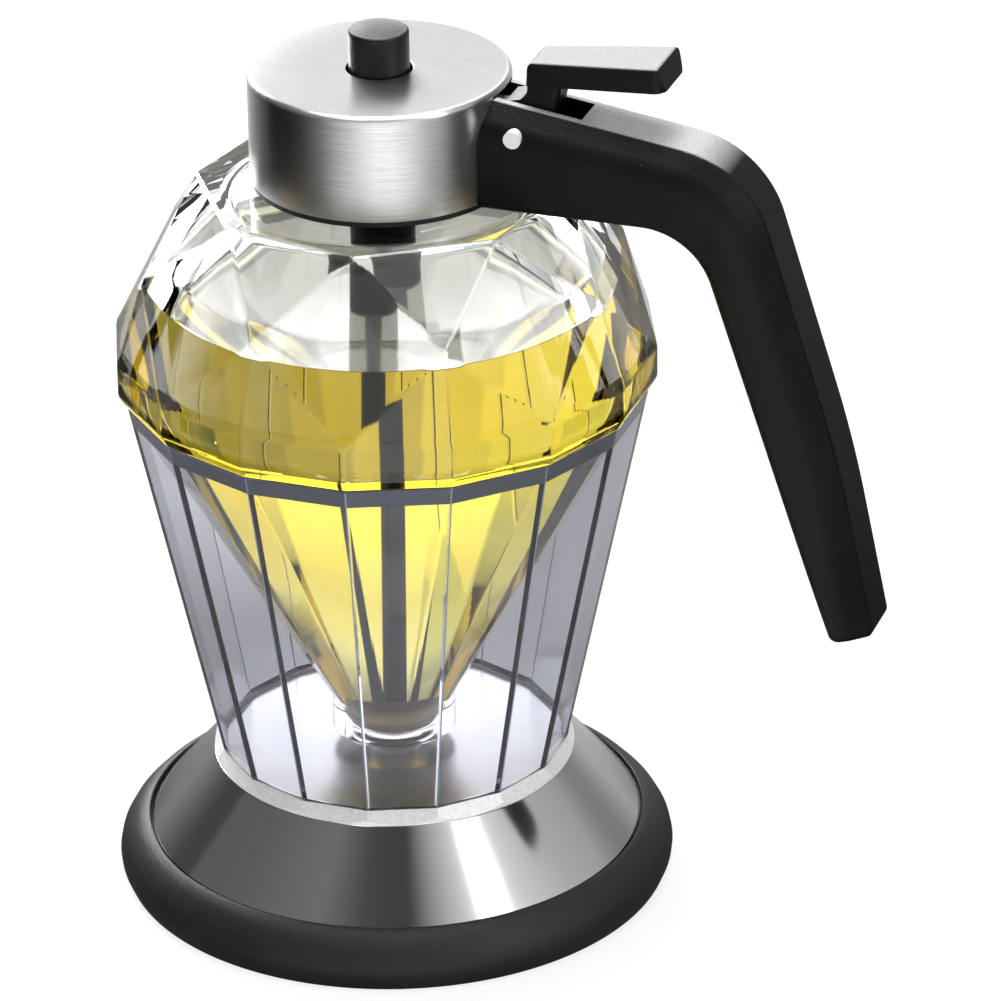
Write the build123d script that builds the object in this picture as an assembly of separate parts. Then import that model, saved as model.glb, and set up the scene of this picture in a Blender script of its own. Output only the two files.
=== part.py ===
from build123d import *
from math import atan2, cos, degrees, hypot, radians, sin, tan
import os

# Oil dispenser with a lift valve: a faceted glass jar that stands in a faceted cup on a flared foot.
# A thumb lever on the handle lifts a rod through the lid and opens the outlet in the jar's bottom.
# Sizes are in millimetres. The origin is on the jar's axis, in the plane that the stand rests on.
# +Z is up, and +X points from the jar to the handle.

# Clearances
seat_gap = 0.3  # between the jar's ledge and the cup's rim
press_gap = 0.05  # between pieces that are pressed or glued together
running_gap = 0.06  # round a pin or rod that turns or slides
side_gap = 0.3  # each side of the lever in the handle's slot
touch_gap = 0.2  # between the lever's fork and the knob

# Facets: the jar and the cup have the same number, turned alike, with a flat towards the handle
facet_count = 16
facet_step = 360 / facet_count
first_corner = facet_step / 2
flat_share = cos(radians(facet_step / 2))  # radius of a flat over radius of a corner

# Foot ring
foot_r = 50.6
foot_ring_w = 9.1
foot_widest_z = 1.9
foot_edge_bevel = 1.0
foot_bulge = 0.9
foot_lip = 0.4  # rubber that stands round the steel's lower edge
foot_lip_h = 0.3

# Steel base: mirror floor, step for the seat ring, flared skirt
sheet_t = 0.8
skirt_inset = 6.0  # skirt's lower edge inside the foot ring's widest line
skirt_foot_z = 9.6
skirt_top_r = 32.7
skirt_h = 13.9
step_w = 3.5
floor_rise = 1.8  # floor above the step

# Base plate under the steel
plate_t = 2.0
plate_rib_inset = 1.9  # rib inside the skirt's upper edge
plate_rib_t = 1.8

# Seat ring between the step and the cup
seat_ring_h = 2.4

# Stand cup: radii are those of its corners
cup_foot_inset = 1.0  # cup's foot inside the skirt's upper edge
cup_rim_r = 46.7
cup_h = 70.3
cup_wall = 2.3
rim_land = 1.0
rim_bevel_h = 3.7

# Jar: radii of the facets' corners, heights from the ledge that rests on the cup
jar_wall = 2.8
ledge_clearance = 0.5
ledge_overhang = 0.2
girdle_overhang = 1.4
girdle_bevel_h = 2.3
girdle_h = 5.9
star_h = 15.6  # tips of the star facets above the girdle
crown_h = 29.3  # table above the girdle
table_r = 32.9
shoulder_inner_r = 4.0
outlet_drop = 2.2  # air between the outlet and the mirror floor
outlet_r = 11.0
outlet_h = 7.4
outlet_bore_r = 4.5
neck_inset = 4.6  # neck inside the cap
neck_wall = 3.9
neck_h = 8.0
neck_root_w = 2.2
neck_root_h = 0.5

# Lid: screw collar, steel shell, gasket
collar_lift = 1.0  # collar's lower edge above the jar's table
collar_lip_inset = 0.3  # lip inside the cap
collar_lip_h = 1.0
thread_gap = 0.5  # room for the screw thread between neck and collar
gasket_t = 0.9
gasket_room = 1.0
gasket_inset = 0.5
deck_t = 2.0
collar_top_wall = 2.6
cap_r = 23.0
cap_h = 19.3
shell_t = 0.6
shell_edge_r = 1.1
knob_hole_gap = 0.55
shell_slot_w = 10.0
shell_slot_h = 5.4
shell_slot_drop = 0.3  # slot's top below the shell's top plate

# Guide tube for the rod
guide_r = 5.9
guide_drop = 30.5  # below the deck
guide_bore_r = 4.7
guide_end_t = 2.0
guide_top_t = 2.6
guide_flange_r = 8.5
guide_flange_t = 1.6

# Rod, knob, clip, spring and stopper
rod_r = 2.2
rod_in_knob = 8.0
knob_r = 5.3
knob_above_cap = 7.2
knob_dome_h = 0.7
knob_edge_r = 0.7
clip_t = 0.8
clip_r = 4.3
clip_mouth = 2.6
clip_above_end = 1.6
spring_wire_r = 0.35
spring_coil_r = 3.5
spring_turns = 6
spring_wire_sides = 6  # wire drawn with flats, to keep the coil light
stopper_lift = 1.0  # tip above the outlet's lower face
stopper_gap = 0.25  # between the stopper and the glass
stopper_r = 5.2
stopper_h = 9.6
stopper_edge = 0.5

# Handle: seen from the side, with the arm above and the grip hanging from it
handle_w = 19.0
arm_under_gap = 1.0  # arm's lower face above the jar's table
arm_top_drop = 0.55  # arm's top below the cap's top, at the cap's axis side
arm_slope = 8.5
arm_overlap = 6.0  # arm's blank inside the cap, before the cap's round is cut out of it
elbow_reach = 36.4  # inner elbow from the cap's side
elbow_w = 8.7
inner_elbow_r = 13.0
outer_elbow_r = 19.4
grip_drop = 74.3  # tip below the arm's lower face
grip_lean = 24.8  # from the inner elbow outwards to the tip
grip_bulge = 2.2  # outer run's bend beyond a straight line
grip_bend_drop = 41.0
grip_bend_r = 220.0
tip_w = 7.2
shoulder = 4.6  # sloped shoulders along the outer side
shoulder_blend_r = 7.0
crease_r = 0.8
inner_edge_r = 1.8
tip_edge_r = 1.5
slot_w = 7.3
slot_past_pin = 10.7
slot_floor_above_under = 8.0

# Screws that hold the handle
screw_r = 1.25
screw_y = 5.5
screw_above_lip = 3.2
screw_head_r = 2.2
screw_head_t = 1.3
screw_head_proud = 0.2  # head into the room for the thread
screw_grip = 10.0  # screw's length in the handle
screw_hole_gap = 0.15

# Lever: the pin's place, then the lever's own sizes
pin_reach = 4.3  # from the cap's side
pin_below_cap = 6.5
pin_r = 1.55
pin_proud = 0.1
hub_r = 3.4
arm_w = 3.0
arm_t = 2.6
arm_overlap_pin = 2.0  # arm runs into the hub up to this far from the pin
arm_gap = 0.6  # arm above the slot's lower edge
arm_bend_inset = 4.6  # arm's bend inside the cap
arm_bend_drop = 0.3
fork_t = 2.0
fork_lift = 0.7  # fork above the deck
fork_gap = 0.5  # round the rod
fork_prong_w = 2.0
fork_l = 8.0
fork_root = 2.0  # fork's plate and arm overlap by this much
post_left_past_pin = 0.8
post_right_past_pin = 7.0
post_heel_past_pin = 5.1  # level with the pin
post_edge_r = 1.1
post_curve_r = 2.3  # hollow curve between the post and its ledge
ledge_past_cap = 1.2
ledge_below_cap = 2.0
ledge_rise = 0.8  # from the ledge's edge to the post
ledge_t = 1.5
pad_past_post = 0.2
pad_l = 24.0
pad_tip_reach = 1.2
pad_start_w = 9.2
pad_end_w = 12.4
pad_corner_r = 2.0
pad_t = 4.2
pad_above_cap = 5.9
pad_slope = 5.0
pad_start_r = 1.6
pad_edge_r = 0.9

# Heights that follow from the sizes above
step_z = skirt_foot_z + skirt_h
floor_z = step_z + floor_rise
cup_z = step_z + seat_ring_h
rim_z = cup_z + cup_h
ledge_z = rim_z + seat_gap
girdle_z = ledge_z + girdle_bevel_h
girdle_top_z = girdle_z + girdle_h
table_z = girdle_top_z + crown_h
neck_top_z = table_z + neck_root_h + neck_h
outlet_z = floor_z + outlet_drop
outlet_top_z = outlet_z + outlet_h
collar_z = table_z + collar_lift
shell_z = collar_z + collar_lip_h
cap_z = shell_z + cap_h
deck_z = neck_top_z + gasket_room
deck_top_z = deck_z + deck_t
under_cap_z = cap_z - shell_t
fork_z = deck_top_z + fork_lift
knob_z = fork_z + fork_t + touch_gap
guide_end_z = deck_z - guide_drop
clip_z = guide_end_z + guide_end_t + clip_above_end
spring_top_z = deck_top_z - guide_top_t
arm_under_z = table_z + arm_under_gap
pin_z = cap_z - pin_below_cap
stopper_z = outlet_z + stopper_lift
tip_z = arm_under_z - grip_drop
arm_top_z = cap_z - arm_top_drop
slot_top_z = under_cap_z - shell_slot_drop
slot_low_z = slot_top_z - shell_slot_h

# Radii that follow
skirt_foot_r = foot_r - skirt_inset
foot_inner_r = foot_r - foot_ring_w
plate_rib_r = skirt_top_r - plate_rib_inset
floor_r = skirt_top_r - step_w
cup_foot_r = skirt_top_r - cup_foot_inset
neck_r = cap_r - neck_inset
neck_bore_r = neck_r - neck_wall
neck_root_r = neck_r + neck_root_w
collar_lip_r = cap_r - collar_lip_inset
ledge_inner_r = cup_rim_r - rim_land - ledge_clearance
ledge_outer_r = cup_rim_r + ledge_overhang
girdle_r = ledge_outer_r + girdle_overhang
thread_r = neck_r + thread_gap
core_r = cap_r - shell_t - press_gap
knob_hole_r = knob_r + knob_hole_gap
cone_top_r = ledge_inner_r * flat_share
cone_low_r = outlet_r * flat_share
cone_slope = (cone_top_r - cone_low_r) / (ledge_z - outlet_top_z)
cone_inset = jar_wall * hypot(1, cone_slope)
seat_z = outlet_top_z - (cone_low_r - cone_inset - outlet_bore_r) / cone_slope

# Places along the handle that follow
arm_start_x = cap_r - arm_overlap
inner_elbow_x = cap_r + elbow_reach
outer_elbow_x = inner_elbow_x + elbow_w
tip_inner_x = inner_elbow_x + grip_lean
tip_outer_x = tip_inner_x + tip_w
pin_x = cap_r + pin_reach
slot_end_x = pin_x + slot_past_pin
screw_head_x = thread_r - screw_head_proud
screw_end_x = cap_r + screw_grip
arm_bend_x = cap_r - arm_bend_inset
ledge_x = cap_r + ledge_past_cap
post_left_x = pin_x + post_left_past_pin
post_right_x = pin_x + post_right_past_pin
pad_start_x = post_left_x + pad_past_post
pad_end_x = pad_start_x + pad_l


def ring(radius, height, count=facet_count, first=first_corner):
    """Corner points of a regular polygon at one height."""
    angles = [radians(first + 360 * i / count) for i in range(count)]
    return [(radius * cos(a), radius * sin(a), height) for a in angles]


def turned(*points):
    """Solid of revolution from a closed outline of (radius, height) points."""
    return revolve(Plane.XZ * make_face(Polyline(*points, close=True)), Axis.Z)


def side_plate(points, width, radius=0):
    """Plate of the given width across Y, from an outline of (x, z) points."""
    line = FilletPolyline(*points, radius=radius, close=True) if radius else Polyline(*points, close=True)
    return extrude(Plane.XZ * make_face(line), amount=width / 2, both=True)


def across(radius, x, z, width):
    """Round bar along Y."""
    return Pos(x, 0, z) * Rot(90, 0, 0) * Cylinder(radius, width)


def along_x(radius, x_from, x_to, y, z):
    """Round bar along X."""
    return Pos((x_from + x_to) / 2, y, z) * Rot(0, 90, 0) * Cylinder(radius, x_to - x_from)


def block(x_from, x_to, width, z_from, z_to):
    """Box centred on the XZ plane."""
    middle = Pos((x_from + x_to) / 2, 0, (z_from + z_to) / 2)
    return middle * Box(x_to - x_from, width, z_to - z_from)


def inset(points, depth):
    """Open (radius, height) outline moved to the right of its run by depth, with mitred corners."""
    normals = []
    for (r0, z0), (r1, z1) in zip(points, points[1:]):
        length = hypot(r1 - r0, z1 - z0)
        normals.append(((z1 - z0) / length, (r0 - r1) / length))
    before, after = [normals[0]] + normals, normals + [normals[-1]]
    moved = []
    for (r, z), (ar, az), (br, bz) in zip(points, before, after):
        k = depth / (1 + ar * br + az * bz)
        moved.append((r + k * (ar + br), z + k * (az + bz)))
    return moved


def sheet(points, thickness):
    """Pressed sheet of revolution, its outer face along the points."""
    return turned(*points, *reversed(inset(points, thickness)))


def on_line(p, q, height):
    """Radius at a height on the straight line through two (radius, height) points."""
    return p[0] + (q[0] - p[0]) * (height - p[1]) / (q[1] - p[1])


def foot_ring():
    widest = (foot_r, foot_widest_z)
    lip = (skirt_foot_r + foot_lip, skirt_foot_z + foot_lip_h)
    middle = ((widest[0] + lip[0]) / 2 + foot_bulge, (widest[1] + lip[1]) / 2 + foot_bulge)
    seat_z = skirt_foot_z - sheet_t
    outline = [
        ThreePointArc(widest, middle, lip),
        Polyline(lip, (lip[0], seat_z), (foot_inner_r, seat_z), (foot_inner_r, 0)),
        Polyline((foot_inner_r, 0), (foot_r - foot_edge_bevel, 0), widest),
    ]
    return revolve(Plane.XZ * make_face(outline), Axis.Z)


def stand_base():
    outer = [(0, floor_z), (floor_r, floor_z), (floor_r, step_z), (skirt_top_r, step_z)]
    return sheet(outer + [(skirt_foot_r, skirt_foot_z)], sheet_t)


def base_plate():
    edge_r = foot_inner_r - press_gap
    rib_top = step_z - sheet_t
    return turned(
        (0, 0), (edge_r, 0), (edge_r, plate_t), (plate_rib_r, plate_t), (plate_rib_r, rib_top),
        (plate_rib_r - plate_rib_t, rib_top), (plate_rib_r - plate_rib_t, plate_t), (0, plate_t),
    )


def seat_ring():
    """Round where it meets the skirt, faceted where it meets the cup."""
    facets = ConvexPolyhedron(ring(skirt_top_r / flat_share, step_z) + ring(cup_foot_r, cup_z))
    round_part = Pos(0, 0, (step_z + cup_z) / 2) * Cylinder(skirt_top_r, seat_ring_h)
    hole = Pos(0, 0, (step_z + cup_z) / 2) * Cylinder(floor_r + press_gap, 2 * seat_ring_h)
    return (facets & round_part) - hole


def stand_cup():
    foot, rim = (cup_foot_r, cup_z), (cup_rim_r, rim_z)
    inner = cup_wall / flat_share
    past = cup_wall
    low_r = on_line(foot, rim, cup_z - past) - inner
    high_r = on_line(foot, rim, rim_z + past) - inner
    bevel_z = rim_z - rim_bevel_h
    bevel_low, bevel_high = (on_line(foot, rim, bevel_z) - inner, bevel_z), (cup_rim_r - rim_land, rim_z)
    bevel_past = rim_z + past
    outside = ConvexPolyhedron(ring(*foot) + ring(*rim))
    inside = ConvexPolyhedron(ring(low_r, cup_z - past) + ring(high_r, rim_z + past))
    bevel = ConvexPolyhedron(ring(*bevel_low) + ring(on_line(bevel_low, bevel_high, bevel_past), bevel_past))
    return outside - inside - bevel


def crown_points():
    """Corners of the upper jar, cut like a brilliant: table, star tips and girdle."""
    half, pair = facet_count // 2, 2 * facet_step
    star_z = girdle_top_z + star_h
    kite_r = on_line((girdle_r, girdle_top_z), (table_r, table_z), star_z)
    star_r = kite_r / cos(radians(facet_step))  # keeps each kite facet flat
    return (
        ring(ledge_outer_r, ledge_z)
        + ring(girdle_r, girdle_z)
        + ring(girdle_r, girdle_top_z)
        + ring(star_r, star_z, half, first_corner + pair / 2)
        + ring(table_r, table_z, half, first_corner)
    )


def jar_hollow():
    """Inside of the jar, from the outlet's bore to the neck."""
    star_z = girdle_top_z + star_h
    crown = cos(atan2(girdle_r - table_r, crown_h))
    kite_r = on_line((girdle_r, girdle_top_z), (table_r, table_z), star_z)
    shoulder_r = table_r * cos(radians(facet_step)) - jar_wall / crown
    points = [
        (0, outlet_z - jar_wall),
        (outlet_bore_r, outlet_z - jar_wall),
        (outlet_bore_r, seat_z),
        (cone_top_r - cone_inset, ledge_z),
        (girdle_r * flat_share - jar_wall, girdle_z),
        (girdle_r * flat_share - jar_wall, girdle_top_z),
        (kite_r - jar_wall / crown, star_z),
        (shoulder_r, table_z - jar_wall),
        (neck_bore_r, table_z - jar_wall + neck_root_h),
        (neck_bore_r, neck_top_z + jar_wall),
        (0, neck_top_z + jar_wall),
    ]
    radii = [0, 0, 0, 2, 2, 2, 4, shoulder_inner_r, 2, 0, 0]
    return revolve(Plane.XZ * make_face(FilletPolyline(*points, radius=radii, close=True)), Axis.Z)


def glass_jar():
    crown = ConvexPolyhedron(crown_points())
    cone = ConvexPolyhedron(ring(ledge_inner_r, ledge_z) + ring(outlet_r, outlet_top_z))
    neck = turned(
        (0, table_z), (neck_root_r, table_z), (neck_r, table_z + neck_root_h), (neck_r, neck_top_z),
        (0, neck_top_z),
    )
    outlet = Pos(0, 0, (outlet_z + outlet_top_z) / 2) * Cylinder(outlet_r * flat_share, outlet_h)
    return crown + cone + neck + outlet - jar_hollow()


def lid_gasket():
    middle = Pos(0, 0, neck_top_z + gasket_t / 2)
    bore = middle * Cylinder(neck_bore_r + gasket_inset, 2 * gasket_t)
    return middle * Cylinder(neck_r - gasket_inset, gasket_t) - bore


def screw_places():
    return [(side * screw_y, shell_z + screw_above_lip) for side in (-1, 1)]


def lid_collar():
    hole_r = guide_r + press_gap
    well_r = core_r - collar_top_wall
    body = turned(
        (thread_r, collar_z), (collar_lip_r, collar_z), (collar_lip_r, shell_z), (core_r, shell_z),
        (core_r, under_cap_z), (well_r, under_cap_z), (well_r, deck_top_z), (hole_r, deck_top_z),
        (hole_r, deck_z), (thread_r, deck_z),
    )
    body -= block(0, cap_r, shell_slot_w, slot_low_z, cap_z)
    for y, z in screw_places():
        body -= along_x(screw_head_r + screw_hole_gap, 0, screw_head_x + screw_head_t, y, z)
        body -= along_x(screw_r + screw_hole_gap, 0, cap_r, y, z)
    return body


def cap_shell():
    outer = [(knob_hole_r, cap_z), (cap_r, cap_z), (cap_r, shell_z)]
    body = sheet(outer, shell_t)
    rim = body.edges().filter_by(GeomType.CIRCLE).group_by(Axis.Z)[-1].sort_by(SortBy.RADIUS)[-1]
    body = fillet(rim, shell_edge_r)
    body -= block(0, 2 * cap_r, shell_slot_w, slot_low_z, slot_top_z)
    for y, z in screw_places():
        body -= along_x(screw_r + screw_hole_gap, 0, 2 * cap_r, y, z)
    return body


def rod_guide():
    hole_r = rod_r + running_gap
    return turned(
        (hole_r, deck_top_z), (guide_r, deck_top_z), (guide_r, deck_z), (guide_flange_r, deck_z),
        (guide_flange_r, deck_z - guide_flange_t), (guide_r, deck_z - guide_flange_t), (guide_r, guide_end_z),
        (hole_r, guide_end_z), (hole_r, guide_end_z + guide_end_t), (guide_bore_r, guide_end_z + guide_end_t),
        (guide_bore_r, spring_top_z), (hole_r, spring_top_z),
    )


def handle_outline():
    """Side view of the handle, from the cap to the grip's tip."""
    elbow = (outer_elbow_x, arm_top_z - tan(radians(arm_slope)) * (outer_elbow_x - arm_start_x))
    tip = (tip_outer_x, tip_z)
    bend_z = arm_under_z - grip_bend_drop
    bend = (on_line(elbow, tip, bend_z) + grip_bulge, bend_z)
    points = [
        (arm_start_x, arm_under_z), (inner_elbow_x, arm_under_z), (tip_inner_x, tip_z), tip, bend, elbow,
        (arm_start_x, arm_top_z),
    ]
    return FilletPolyline(*points, radius=[0, inner_elbow_r, 0, 0, grip_bend_r, outer_elbow_r, 0], close=True)


def run_edges(body, half_w, inner=False):
    """Long edges at a distance from the handle's middle plane, along its outer or its inner run."""
    chosen = []
    for edge in body.edges():
        start, middle = edge.position_at(0.1), edge.position_at(0.5)
        if max(abs(abs(start.Y) - half_w), abs(abs(middle.Y) - half_w)) > crease_r / 10:
            continue
        if middle.X < arm_start_x + tip_edge_r or middle.Z < tip_z + tip_edge_r:
            continue
        run_x = on_line((inner_elbow_x, arm_under_z), (tip_inner_x, tip_z), middle.Z)
        is_inner = middle.Z < arm_under_z + crease_r and middle.X < run_x + tip_edge_r
        if is_inner == inner:
            chosen.append(edge)
    return chosen


def handle_blank():
    """Arm and grip, with sloped shoulders along the outer run and rounded edges along the inner one."""
    half_w = handle_w / 2
    body = extrude(Plane.XZ * make_face(handle_outline()), amount=half_w, both=True)
    body = chamfer(run_edges(body, half_w), shoulder)
    body = fillet(run_edges(body, half_w), shoulder_blend_r)
    body = fillet(run_edges(body, half_w - shoulder), crease_r)
    body = fillet(run_edges(body, half_w, inner=True), inner_edge_r)
    return fillet(body.faces().sort_by(Axis.Z)[0].edges(), tip_edge_r)


def handle():
    body = handle_blank()
    slot_floor = arm_under_z + slot_floor_above_under
    body -= Pos(0, 0, cap_z / 2) * Cylinder(cap_r + press_gap, 2 * cap_z)
    body -= block(0, slot_end_x, slot_w, slot_floor, 2 * cap_z)
    body -= across(pin_r, pin_x, pin_z, 2 * handle_w)
    for y, z in screw_places():
        body -= along_x(screw_r, 0, screw_end_x, y, z)
    return body


def handle_screws():
    screws = []
    for y, z in screw_places():
        head = along_x(screw_head_r, screw_head_x, screw_head_x + screw_head_t, y, z)
        screws.append(head + along_x(screw_r, screw_head_x + screw_head_t, screw_end_x, y, z))
    return Compound(children=screws)


def lever_pin():
    return across(pin_r, pin_x, pin_z, handle_w + 2 * pin_proud)


def lever_pad():
    """Thumb pad, wider towards its bevelled end."""
    top_z = cap_z + pad_above_cap
    end_z = top_z + tan(radians(pad_slope)) * pad_l
    tip_x = pad_end_x + pad_tip_reach
    side = [(pad_start_x, top_z), (pad_end_x, end_z), (tip_x, end_z - pad_t), (post_left_x, top_z - pad_t)]
    back_x = post_left_x - pad_edge_r
    plan = [
        (back_x, -pad_start_w / 2), (tip_x, -pad_end_w / 2), (tip_x, pad_end_w / 2), (back_x, pad_start_w / 2),
    ]
    outline = FilletPolyline(*plan, radius=[0, pad_corner_r, pad_corner_r, 0], close=True)
    shape = side_plate(side, 2 * pad_end_w, [pad_start_r, 0, 0, 0])
    shape = shape & extrude(make_face(outline), amount=2 * cap_z)
    top = shape.faces().sort_by(Axis.Z)[-1]
    return fillet(top.edges().filter_by(lambda e: (e @ 0.5).X > pad_start_x + pad_start_r), pad_edge_r)


def lever_post(width):
    """Upright plate round the pin, with a hollow curve down to the ledge beside the cap."""
    top_z = cap_z + pad_above_cap - pad_t + pad_edge_r
    ledge_z = cap_z - ledge_below_cap
    heel_x = pin_x + post_heel_past_pin
    outline = [
        (post_left_x, top_z), (post_right_x, top_z), (heel_x, pin_z), (pin_x, pin_z - hub_r),
        (pin_x - hub_r, pin_z), (ledge_x, ledge_z - ledge_t), (ledge_x, ledge_z),
        (post_left_x, ledge_z + ledge_rise),
    ]
    body = side_plate(outline, width, [0, 0, 0, 0, 0, 0, 0, post_curve_r])
    mid_x, mid_z = (heel_x + post_right_x) / 2, (pin_z + top_z) / 2
    lean = body.edges().filter_by(lambda e: hypot((e @ 0.5).X - mid_x, (e @ 0.5).Z - mid_z) < post_edge_r)
    body = fillet(lean, post_edge_r)
    return body + across(hub_r, pin_x, pin_z, width)


def lever_arm():
    """Arm from the hub into the cap, and the fork under the knob."""
    fork_top = fork_z + fork_t
    low = slot_low_z + arm_gap
    start_x = pin_x - arm_overlap_pin
    root_x = fork_l - fork_root
    outline = [
        (start_x, low), (arm_bend_x, low - arm_bend_drop), (fork_l, fork_z), (root_x, fork_z),
        (root_x, fork_top), (fork_l, fork_top), (arm_bend_x, low + arm_t), (start_x, low + arm_t),
    ]
    fork_w = 2 * (rod_r + fork_gap + fork_prong_w)
    fork = block(0, fork_l, fork_w, fork_z, fork_top)
    fork -= Pos(0, 0, fork_z) * Cylinder(rod_r + fork_gap, 4 * fork_t)
    return side_plate(outline, arm_w) + fork


def lever():
    body = lever_pad() + lever_post(slot_w - 2 * side_gap) + lever_arm()
    return body - across(pin_r + running_gap, pin_x, pin_z, handle_w)


def lift_knob():
    """Round knob with a rounded edge and a low dome."""
    top_z = cap_z + knob_above_cap
    edge = knob_edge_r * cos(radians(45))
    flat_r = knob_r - knob_edge_r
    outline = [
        Polyline((knob_r, top_z - knob_edge_r), (knob_r, knob_z), (0, knob_z), (0, top_z + knob_dome_h)),
        ThreePointArc((0, top_z + knob_dome_h), (flat_r * 0.72, top_z + knob_dome_h * 0.5), (flat_r, top_z)),
        ThreePointArc(
            (flat_r, top_z), (flat_r + edge, top_z - knob_edge_r + edge), (knob_r, top_z - knob_edge_r)
        ),
    ]
    body = revolve(Plane.XZ * make_face(outline), Axis.Z)
    return body - Pos(0, 0, knob_z) * Cylinder(rod_r, 2 * rod_in_knob)


def valve_rod():
    low = stopper_z + stopper_h / 2
    high = knob_z + rod_in_knob
    return Pos(0, 0, (low + high) / 2) * Cylinder(rod_r, high - low)


def spring_clip():
    middle = Pos(0, 0, clip_z + clip_t / 2)
    return middle * Cylinder(clip_r, clip_t) - middle * Cylinder(rod_r, 2 * clip_t) - block(
        0, 2 * clip_r, clip_mouth, clip_z - clip_t, clip_z + 2 * clip_t
    )


def return_spring():
    low = clip_z + clip_t + spring_wire_r
    high = spring_top_z - spring_wire_r
    height = high - low
    path = Helix(pitch=height / spring_turns, height=height, radius=spring_coil_r, center=(0, 0, low))
    start = Plane(origin=path @ 0, z_dir=path % 0)
    return sweep(start * RegularPolygon(spring_wire_r, spring_wire_sides), path=path)


def valve_stopper():
    """Soft plug: a spigot in the outlet's bore and a cone on the glass funnel above it."""
    spigot_r = outlet_bore_r - stopper_gap
    top_z = stopper_z + stopper_h
    wide_z = seat_z + (stopper_r + stopper_gap - outlet_bore_r) / cone_slope
    body = turned(
        (0, stopper_z), (spigot_r - stopper_edge, stopper_z), (spigot_r, stopper_z + stopper_edge),
        (spigot_r, seat_z), (stopper_r, wide_z), (stopper_r, top_z - stopper_edge),
        (stopper_r - stopper_edge, top_z), (0, top_z),
    )
    return body - Pos(0, 0, top_z) * Cylinder(rod_r, stopper_h)


def main():
    os.makedirs("parts", exist_ok=True)
    pieces = {
        "foot_ring": foot_ring(),
        "stand_base": stand_base(),
        "base_plate": base_plate(),
        "seat_ring": seat_ring(),
        "stand_cup": stand_cup(),
        "glass_jar": glass_jar(),
        "lid_gasket": lid_gasket(),
        "lid_collar": lid_collar(),
        "cap_shell": cap_shell(),
        "rod_guide": rod_guide(),
        "handle": handle(),
        "handle_screws": handle_screws(),
        "lever_pin": lever_pin(),
        "lever": lever(),
        "lift_knob": lift_knob(),
        "valve_rod": valve_rod(),
        "spring_clip": spring_clip(),
        "return_spring": return_spring(),
        "valve_stopper": valve_stopper(),
    }
    for name, shape in pieces.items():
        export_step(shape, f"parts/{name}.step")


main()
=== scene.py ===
from math import atan2, cos, degrees, hypot, pi, radians, sin, tan

import bmesh
import bpy
from mathutils import Matrix, Vector


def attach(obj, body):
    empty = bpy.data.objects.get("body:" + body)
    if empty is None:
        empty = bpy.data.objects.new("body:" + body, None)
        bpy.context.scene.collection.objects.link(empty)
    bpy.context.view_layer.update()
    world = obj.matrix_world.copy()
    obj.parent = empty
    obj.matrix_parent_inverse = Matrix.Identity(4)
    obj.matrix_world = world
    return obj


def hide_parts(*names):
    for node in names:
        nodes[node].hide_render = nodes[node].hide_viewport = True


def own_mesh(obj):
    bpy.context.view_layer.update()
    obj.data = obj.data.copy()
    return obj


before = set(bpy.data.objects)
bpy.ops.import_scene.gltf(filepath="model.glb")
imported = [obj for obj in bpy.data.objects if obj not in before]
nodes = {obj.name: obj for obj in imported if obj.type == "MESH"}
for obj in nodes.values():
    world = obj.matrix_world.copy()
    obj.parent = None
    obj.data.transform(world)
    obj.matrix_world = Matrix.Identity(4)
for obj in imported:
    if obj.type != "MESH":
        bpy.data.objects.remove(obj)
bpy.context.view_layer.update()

scene = bpy.context.scene
mm = 0.001

# Camera: the photograph's viewpoint, above the cap and through a long lens. The handle points right
# and a little towards it. Its angles are in axes that are turned from the part's own.
camera_place = Vector((350.8, -938.2, 567.1)) * mm
from_photo_axes = Matrix.Rotation(radians(20.5), 3, "Z")
pitch, yaw, roll = radians(26.3327), radians(1.13495), radians(-0.81564)
ahead = Vector((sin(yaw) * cos(pitch), cos(yaw) * cos(pitch), -sin(pitch)))
right = Vector((cos(yaw), -sin(yaw), 0))
above = right.cross(ahead)
rolled_right = cos(roll) * right + sin(roll) * above
rolled_above = cos(roll) * above - sin(roll) * right
axes = Matrix((rolled_right, rolled_above, -ahead)).transposed()
lens = bpy.data.cameras.new("photo_camera")
lens.sensor_width = 36
lens.lens = 224.98
lens.clip_end = 20
camera = bpy.data.objects.new("photo_camera", lens)
camera.matrix_world = Matrix.Translation(camera_place) @ (from_photo_axes @ axes).to_4x4()
scene.collection.objects.link(camera)
scene.camera = camera
scene.view_settings.view_transform = "Standard"


# Studio: a white sweep round the object. Metal shows its bright front, its dark sides and a pale
# ceiling, and clear pieces show it almost white, with a few grey stretches that draw their edges.
def link(tree, output, target):
    tree.links.new(output, target)


def feed(tree, value, target):
    """Gives an input a number, a colour or another node's output."""
    if isinstance(value, bpy.types.NodeSocket):
        link(tree, value, target)
    else:
        target.default_value = value


def math_node(tree, operation, first, second=0.5, third=0.5):
    """One Math node, with each input a socket or a number."""
    node = tree.nodes.new("ShaderNodeMath")
    node.operation = operation
    for target, value in zip(node.inputs, (first, second, third)):
        feed(tree, value, target)
    return node.outputs[0]


def grey(value):
    return (value, value, value, 1)


def ramp(tree, value, stops):
    """Colour ramp from (place, grey or colour) stops."""
    node = tree.nodes.new("ShaderNodeValToRGB")
    points = node.color_ramp.elements
    while len(points) < len(stops):
        points.new(0.5)
    for point, (place, shade) in zip(points, stops):
        point.position = place
        point.color = (*shade, 1) if isinstance(shade, tuple) else grey(shade)
    link(tree, value, node.inputs[0])
    return node.outputs[0]


def mixed(tree, share, first, second):
    """Two colours mixed by a share."""
    node = tree.nodes.new("ShaderNodeMixRGB")
    for target, value in zip(node.inputs, (share, first, second)):
        feed(tree, value, target)
    return node.outputs[0]


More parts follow.
